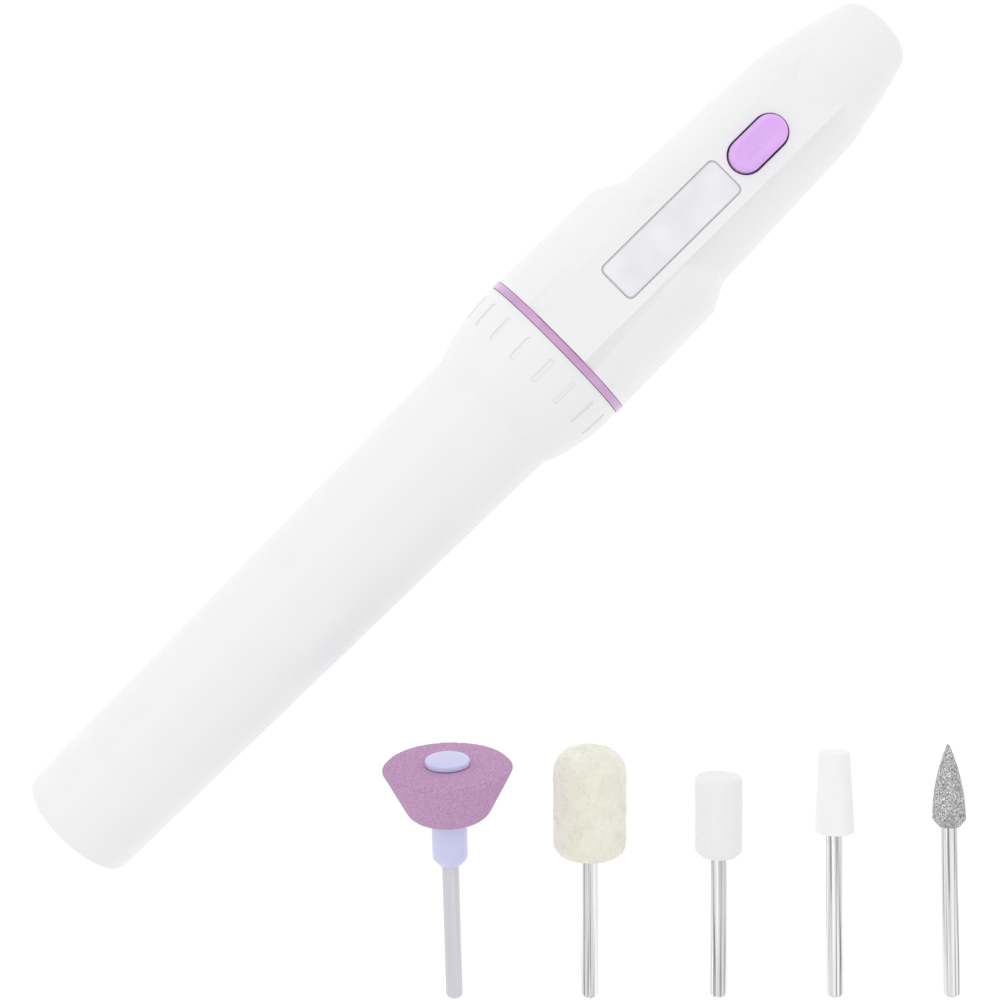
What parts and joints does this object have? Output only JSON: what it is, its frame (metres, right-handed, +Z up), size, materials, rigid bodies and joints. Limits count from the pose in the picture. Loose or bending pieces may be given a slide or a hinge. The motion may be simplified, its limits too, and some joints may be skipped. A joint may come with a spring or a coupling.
{
  "type": "electric nail drill",
  "caption": "Pen-shaped cordless nail drill with a screw-off battery grip, spine-mounted on/off button and slit chuck, laid out with its interchangeable grinding, felt and diamond bits.",
  "frame": {"origin": "centre of the whole set on the table top, under the drill and its bits", "axes": "+X along the drill towards its nose (level), +Y from the bits towards the drill, +Z up out of the table"},
  "size_m": [0.1996, 0.1516, 0.0314],
  "materials": {
    "white_plastic": "satin moulded",
    "purple_ring": "gloss",
    "purple_button": "gloss",
    "label": "satin foil",
    "grey_plastic": "moulded",
    "dark_plastic": "moulded",
    "battery_wrap": "printed film, blank",
    "spring_steel": "nickel plated",
    "motor_steel": "ground",
    "magnet": "sintered",
    "copper": "turned copper",
    "brass": "turned",
    "board_green": "solder mask",
    "wire_red": "insulation",
    "wire_blue": "insulation",
    "bit_steel": "ground",
    "lavender_plastic": "moulded",
    "pink_pumice": "porous abrasive",
    "felt": "pressed wool",
    "white_stone": "fine abrasive",
    "diamond_grit": "bonded grit"
  },
  "bodies": {
    "root": {"upper_shell": "white_plastic", "lower_shell": "white_plastic", "shell_screws": "spring_steel", "label_plate": "label", "battery_bulkhead": "grey_plastic", "battery_cradle": "grey_plastic", "battery_front": "battery_wrap", "battery_rear": "battery_wrap", "positive_contact": "spring_steel", "negative_spring": "spring_steel", "negative_strap": "spring_steel", "motor_can": "motor_steel", "motor_end_cap": "grey_plastic", "motor_magnets": "magnet", "motor_brushes": "magnet", "motor_terminals": "spring_steel", "bearing_outer_ring": "motor_steel", "switch_body": "grey_plastic", "circuit_board": "board_green", "power_wires": "wire_red", "motor_wires": "wire_blue", "button_spring": "spring_steel"},
    "spindle": {"rotor_shaft": "motor_steel", "rotor_core": "motor_steel", "commutator": "copper", "coupling_sleeve": "grey_plastic", "spindle_shaft": "motor_steel", "collet": "brass", "collet_ring": "spring_steel", "bearing_inner_ring": "motor_steel", "bearing_balls": "motor_steel"},
    "button": {"switch_button": "purple_button", "switch_plunger": "dark_plastic"},
    "collar": {"accent_ring": "purple_ring"},
    "cover": {"battery_cover": "white_plastic"},
    "disc_bit": {"disc_shank": "bit_steel", "disc_hub": "lavender_plastic", "disc_pad": "pink_pumice"},
    "felt_bit": {"felt_shank": "bit_steel", "felt_head": "felt"},
    "cylinder_bit": {"cylinder_shank": "bit_steel", "cylinder_head": "white_stone"},
    "cone_bit": {"cone_shank": "bit_steel", "cone_head": "white_stone"},
    "diamond_bit": {"diamond_shank": "bit_steel", "diamond_head": "diamond_grit"}
  },
  "joints": [
    {"name": "spindle_spin", "type": "hinge", "parent": "root", "child": "spindle", "pos_m": [0.07759, 0.0603, 0.01758], "axis": [0.9993, 0, 0.0366], "continuous": true},
    {"name": "button_press", "type": "slide", "parent": "root", "child": "button", "axis": [-0.0381, 0, -0.9993], "range_m": [0, 0.001], "stiffness_N_per_m": 400, "springref_m": -0.0005, "deforming": ["button_spring"]},
    {"name": "cover_twist", "type": "hinge", "parent": "root", "child": "collar", "pos_m": [0.02058, 0.0603, 0.01549], "axis": [0.9993, 0, 0.0366], "range_deg": [0, 30]},
    {"name": "cover_pull", "type": "slide", "parent": "collar", "child": "cover", "axis": [-0.9993, 0, -0.0366], "range_m": [0, 0.125]},
    {"name": "disc_bit_lift", "type": "slide", "parent": "root", "child": "disc_bit", "axis": [0, 0, 1], "range_m": [0, 0.06]},
    {"name": "felt_bit_lift", "type": "slide", "parent": "root", "child": "felt_bit", "axis": [0, 0, 1], "range_m": [0, 0.06]},
    {"name": "cylinder_bit_lift", "type": "slide", "parent": "root", "child": "cylinder_bit", "axis": [0, 0, 1], "range_m": [0, 0.06]},
    {"name": "cone_bit_lift", "type": "slide", "parent": "root", "child": "cone_bit", "axis": [0, 0, 1], "range_m": [0, 0.06]},
    {"name": "diamond_bit_lift", "type": "slide", "parent": "root", "child": "diamond_bit", "axis": [0, 0, 1], "range_m": [0, 0.06]}
  ]
}
